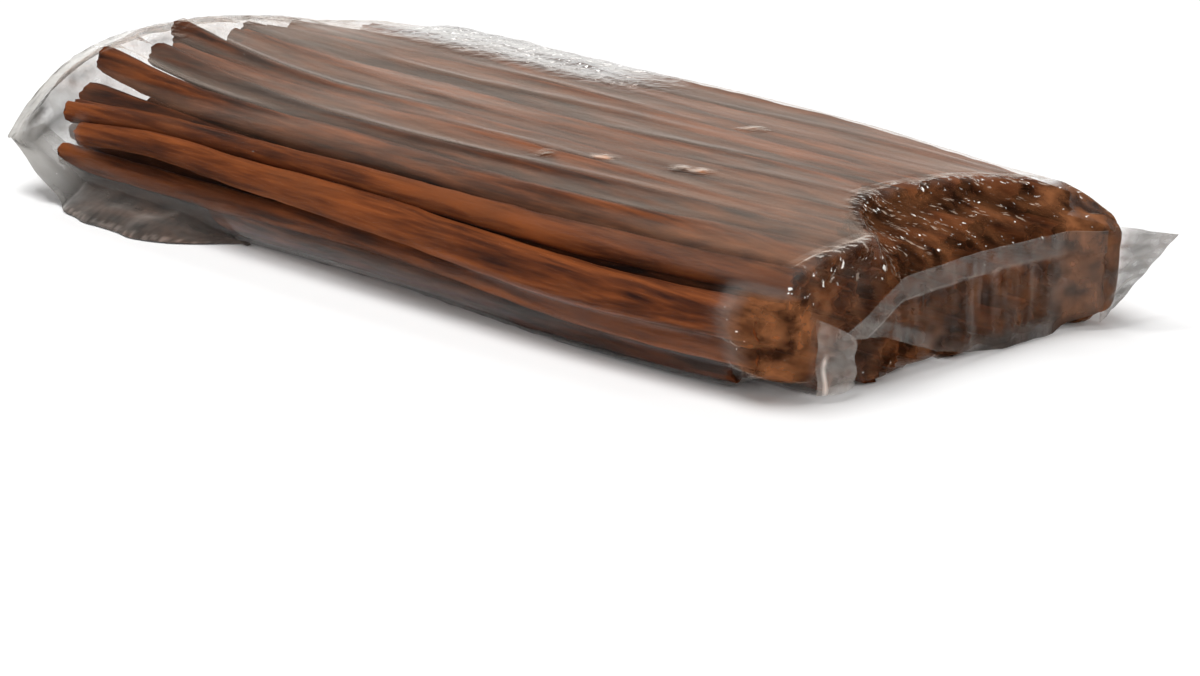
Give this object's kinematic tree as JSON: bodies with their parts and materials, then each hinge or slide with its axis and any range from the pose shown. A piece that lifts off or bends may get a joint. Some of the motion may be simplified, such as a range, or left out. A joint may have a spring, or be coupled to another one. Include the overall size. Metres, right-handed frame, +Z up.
{
  "type": "pack of cinnamon sticks",
  "caption": "Long cinnamon quills stacked side by side in a clear film bag, sealed flat at one end and folded down into a pleated flap at the other.",
  "frame": {"origin": "centre of the pack's bounding box, on the surface that it lies on", "axes": "+X along the sticks towards the end with the folded flap, +Y across the pack to its far long side, +Z up"},
  "size_m": [0.467, 0.209, 0.0627],
  "materials": {
    "bark": "dry rolled bark, orange-brown with darker seams and greyer patches",
    "film": "thin clear crinkled film with a hard shine"
  },
  "bodies": {
    "root": {"sealed_pack": "bark"}
  },
  "joints": []
}
